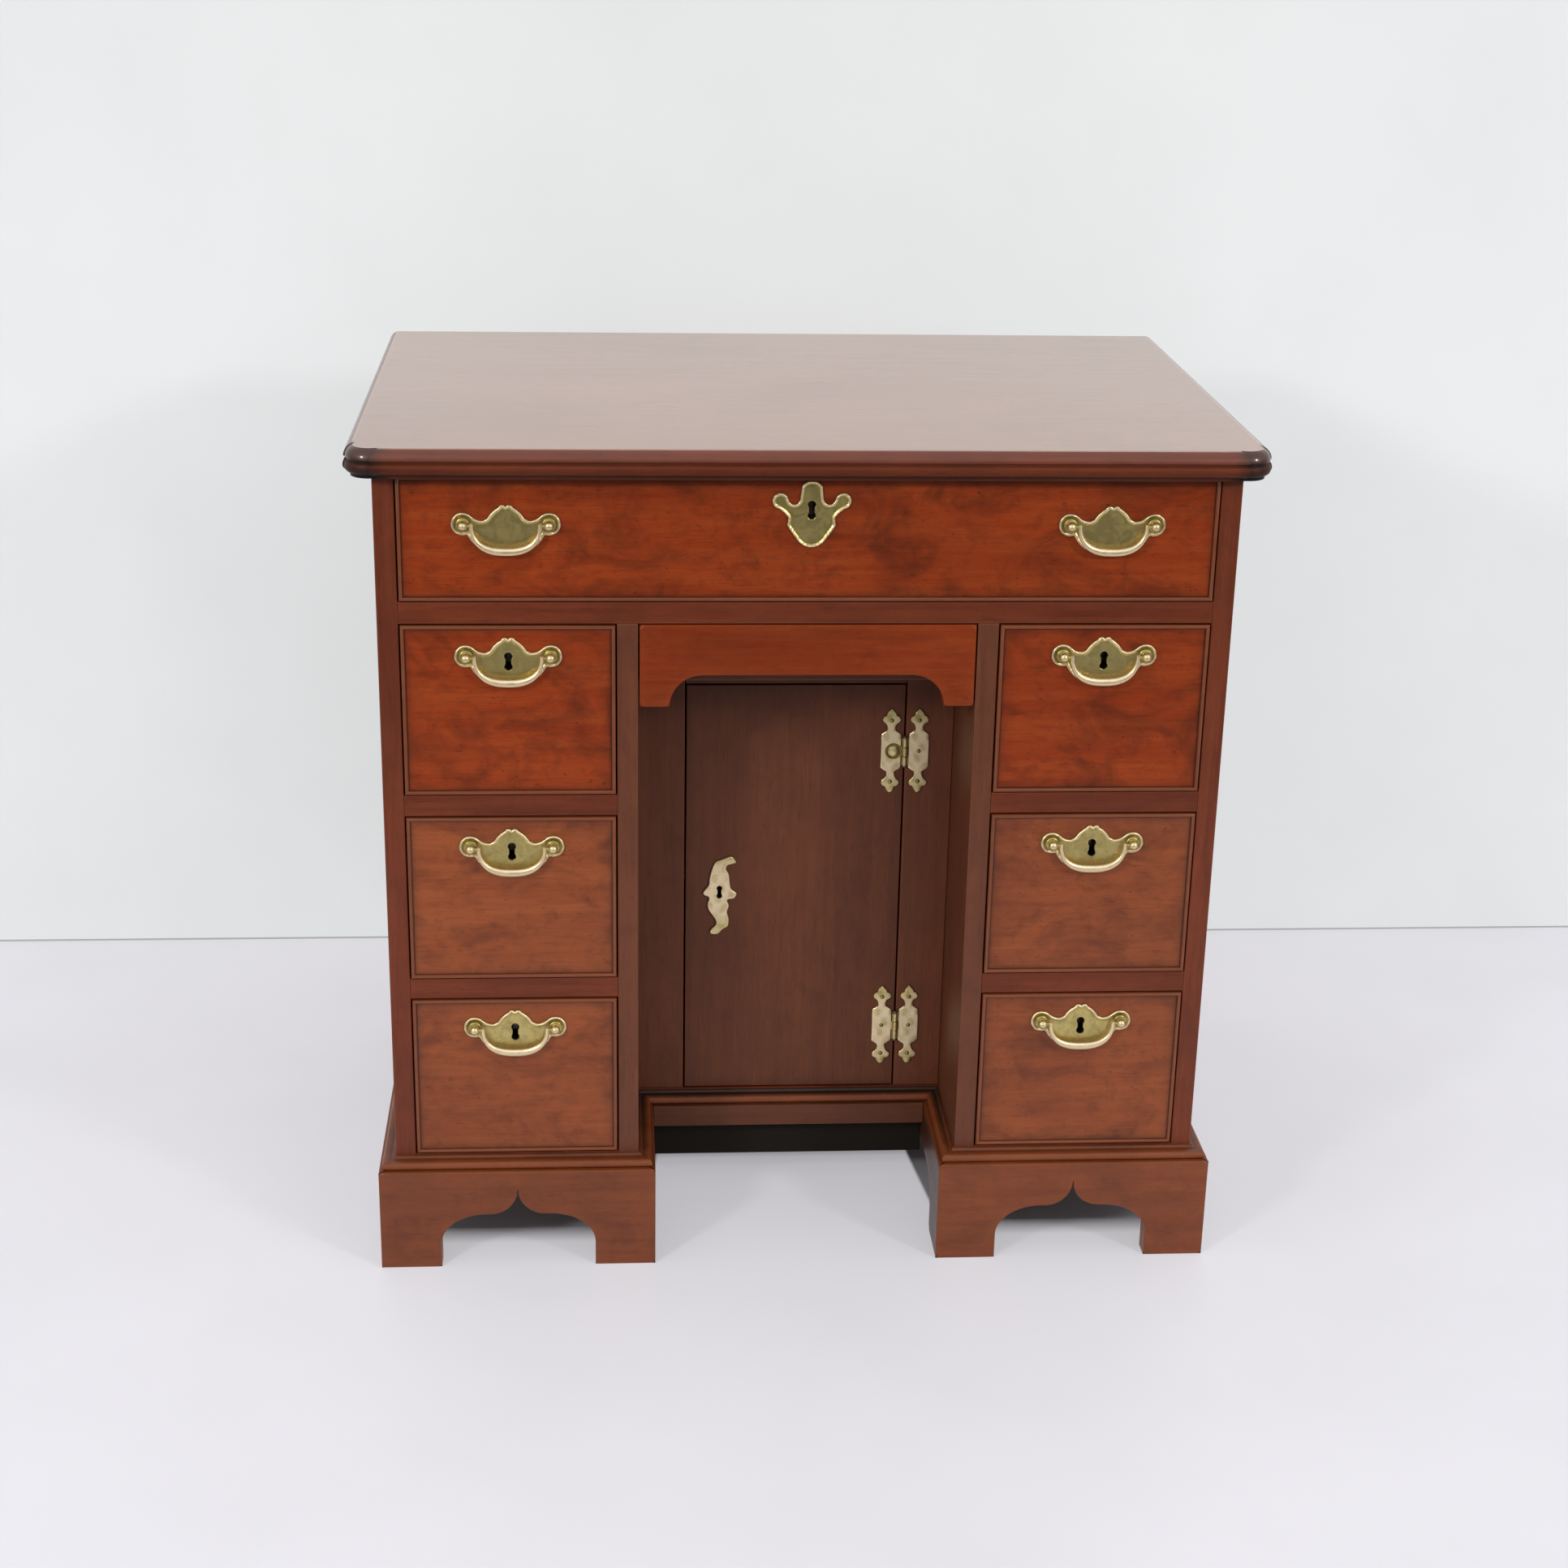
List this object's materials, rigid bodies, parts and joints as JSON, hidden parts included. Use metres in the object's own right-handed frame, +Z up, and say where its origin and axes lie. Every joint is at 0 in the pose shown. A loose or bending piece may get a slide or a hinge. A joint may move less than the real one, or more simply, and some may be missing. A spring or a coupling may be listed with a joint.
{
  "type": "kneehole desk",
  "caption": "Mahogany kneehole desk on bracket plinths: cock-beaded drawers with brass bail handles slide, a shaped apron drawer pulls out and a recessed cupboard door swings.",
  "frame": {"origin": "on the floor under the middle of the desk's overall box", "axes": "+X to the viewer's right across the desk, +Y from the drawers' side to the back, +Z up"},
  "size_m": [0.812, 0.554, 0.8],
  "materials": {
    "top_mahogany": "polished",
    "case_mahogany": "waxed",
    "drawer_mahogany": "polished",
    "oak": "bare",
    "deal": "bare",
    "brass": "aged",
    "steel": "dull"
  },
  "bodies": {
    "case": {"desk_top": "top_mahogany", "case_side_left": "case_mahogany", "case_side_right": "case_mahogany", "kneehole_side_left": "case_mahogany", "kneehole_side_right": "case_mahogany", "back_boards": "deal", "drawer_rails": "case_mahogany", "dust_boards": "deal", "bottom_boards": "deal", "kneehole_soffit": "case_mahogany", "cupboard_frame": "case_mahogany", "cupboard_shelf": "oak", "base_moulding": "case_mahogany", "plinth_fronts": "case_mahogany", "plinth_sides": "case_mahogany", "cupboard_plinth_rail": "case_mahogany", "glue_blocks": "deal", "hinge_frame_leaves": "brass", "hinge_pins": "steel"},
    "door": {"cupboard_door": "case_mahogany", "door_fittings": "brass"},
    "door_bolt": {"door_bolt": "steel"},
    "long_drawer": {"long_drawer_front": "drawer_mahogany", "long_drawer_linings": "oak", "long_drawer_fittings": "brass"},
    "long_drawer_left_bail": {"long_drawer_left_bail": "brass"},
    "long_drawer_right_bail": {"long_drawer_right_bail": "brass"},
    "long_drawer_bolt": {"long_drawer_bolt": "steel"},
    "left_lower_drawer": {"left_lower_drawer_front": "drawer_mahogany", "left_lower_drawer_linings": "oak", "left_lower_drawer_fittings": "brass"},
    "left_lower_drawer_bail": {"left_lower_drawer_bail": "brass"},
    "left_lower_drawer_bolt": {"left_lower_drawer_bolt": "steel"},
    "left_middle_drawer": {"left_middle_drawer_front": "drawer_mahogany", "left_middle_drawer_linings": "oak", "left_middle_drawer_fittings": "brass"},
    "left_middle_drawer_bail": {"left_middle_drawer_bail": "brass"},
    "left_middle_drawer_bolt": {"left_middle_drawer_bolt": "steel"},
    "left_upper_drawer": {"left_upper_drawer_front": "drawer_mahogany", "left_upper_drawer_linings": "oak", "left_upper_drawer_fittings": "brass"},
    "left_upper_drawer_bail": {"left_upper_drawer_bail": "brass"},
    "left_upper_drawer_bolt": {"left_upper_drawer_bolt": "steel"},
    "right_lower_drawer": {"right_lower_drawer_front": "drawer_mahogany", "right_lower_drawer_linings": "oak", "right_lower_drawer_fittings": "brass"},
    "right_lower_drawer_bail": {"right_lower_drawer_bail": "brass"},
    "right_lower_drawer_bolt": {"right_lower_drawer_bolt": "steel"},
    "right_middle_drawer": {"right_middle_drawer_front": "drawer_mahogany", "right_middle_drawer_linings": "oak", "right_middle_drawer_fittings": "brass"},
    "right_middle_drawer_bail": {"right_middle_drawer_bail": "brass"},
    "right_middle_drawer_bolt": {"right_middle_drawer_bolt": "steel"},
    "right_upper_drawer": {"right_upper_drawer_front": "drawer_mahogany", "right_upper_drawer_linings": "oak", "right_upper_drawer_fittings": "brass"},
    "right_upper_drawer_bail": {"right_upper_drawer_bail": "brass"},
    "right_upper_drawer_bolt": {"right_upper_drawer_bolt": "steel"},
    "apron_drawer": {"apron_drawer_front": "drawer_mahogany", "apron_drawer_linings": "oak"}
  },
  "joints": [
    {"name": "long_drawer_slide", "type": "slide", "parent": "case", "child": "long_drawer", "axis": [0, -1, 0], "range_m": [0, 0.36]},
    {"name": "long_drawer_left_bail_swing", "type": "hinge", "parent": "long_drawer", "child": "long_drawer_left_bail", "pos_m": [-0.267, -0.261, 0.73], "axis": [-1, 0, 0], "range_deg": [0, 100]},
    {"name": "long_drawer_right_bail_swing", "type": "hinge", "parent": "long_drawer", "child": "long_drawer_right_bail", "pos_m": [0.267, -0.261, 0.73], "axis": [-1, 0, 0], "range_deg": [0, 100]},
    {"name": "long_drawer_bolt_throw", "type": "slide", "parent": "long_drawer", "child": "long_drawer_bolt", "axis": [0, 0, 1], "range_m": [0, 0.008]},
    {"name": "left_lower_drawer_slide", "type": "slide", "parent": "case", "child": "left_lower_drawer", "axis": [0, -1, 0], "range_m": [0, 0.36]},
    {"name": "left_lower_drawer_bail_swing", "type": "hinge", "parent": "left_lower_drawer", "child": "left_lower_drawer_bail", "pos_m": [-0.267, -0.261, 0.2465], "axis": [-1, 0, 0], "range_deg": [0, 100]},
    {"name": "left_lower_drawer_bolt_throw", "type": "slide", "parent": "left_lower_drawer", "child": "left_lower_drawer_bolt", "axis": [0, 0, 1], "range_m": [0, 0.008]},
    {"name": "left_middle_drawer_slide", "type": "slide", "parent": "case", "child": "left_middle_drawer", "axis": [0, -1, 0], "range_m": [0, 0.36]},
    {"name": "left_middle_drawer_bail_swing", "type": "hinge", "parent": "left_middle_drawer", "child": "left_middle_drawer_bail", "pos_m": [-0.267, -0.261, 0.428], "axis": [-1, 0, 0], "range_deg": [0, 100]},
    {"name": "left_middle_drawer_bolt_throw", "type": "slide", "parent": "left_middle_drawer", "child": "left_middle_drawer_bolt", "axis": [0, 0, 1], "range_m": [0, 0.008]},
    {"name": "left_upper_drawer_slide", "type": "slide", "parent": "case", "child": "left_upper_drawer", "axis": [0, -1, 0], "range_m": [0, 0.36]},
    {"name": "left_upper_drawer_bail_swing", "type": "hinge", "parent": "left_upper_drawer", "child": "left_upper_drawer_bail", "pos_m": [-0.267, -0.261, 0.6095], "axis": [-1, 0, 0], "range_deg": [0, 100]},
    {"name": "left_upper_drawer_bolt_throw", "type": "slide", "parent": "left_upper_drawer", "child": "left_upper_drawer_bolt", "axis": [0, 0, 1], "range_m": [0, 0.008]},
    {"name": "right_lower_drawer_slide", "type": "slide", "parent": "case", "child": "right_lower_drawer", "axis": [0, -1, 0], "range_m": [0, 0.36]},
    {"name": "right_lower_drawer_bail_swing", "type": "hinge", "parent": "right_lower_drawer", "child": "right_lower_drawer_bail", "pos_m": [0.267, -0.261, 0.2465], "axis": [-1, 0, 0], "range_deg": [0, 100]},
    {"name": "right_lower_drawer_bolt_throw", "type": "slide", "parent": "right_lower_drawer", "child": "right_lower_drawer_bolt", "axis": [0, 0, 1], "range_m": [0, 0.008]},
    {"name": "right_middle_drawer_slide", "type": "slide", "parent": "case", "child": "right_middle_drawer", "axis": [0, -1, 0], "range_m": [0, 0.36]},
    {"name": "right_middle_drawer_bail_swing", "type": "hinge", "parent": "right_middle_drawer", "child": "right_middle_drawer_bail", "pos_m": [0.267, -0.261, 0.428], "axis": [-1, 0, 0], "range_deg": [0, 100]},
    {"name": "right_middle_drawer_bolt_throw", "type": "slide", "parent": "right_middle_drawer", "child": "right_middle_drawer_bolt", "axis": [0, 0, 1], "range_m": [0, 0.008]},
    {"name": "right_upper_drawer_slide", "type": "slide", "parent": "case", "child": "right_upper_drawer", "axis": [0, -1, 0], "range_m": [0, 0.36]},
    {"name": "right_upper_drawer_bail_swing", "type": "hinge", "parent": "right_upper_drawer", "child": "right_upper_drawer_bail", "pos_m": [0.267, -0.261, 0.6095], "axis": [-1, 0, 0], "range_deg": [0, 100]},
    {"name": "right_upper_drawer_bolt_throw", "type": "slide", "parent": "right_upper_drawer", "child": "right_upper_drawer_bolt", "axis": [0, 0, 1], "range_m": [0, 0.008]},
    {"name": "apron_drawer_slide", "type": "slide", "parent": "case", "child": "apron_drawer", "axis": [0, -1, 0], "range_m": [0, 0.36]},
    {"name": "door_swing", "type": "hinge", "parent": "case", "child": "door", "pos_m": [0.10525, -0.1272, 0.32775], "axis": [0, 0, 1], "range_deg": [0, 95]},
    {"name": "door_bolt_throw", "type": "slide", "parent": "door", "child": "door_bolt", "axis": [-1, 0, 0], "range_m": [0, 0.012]}
  ]
}
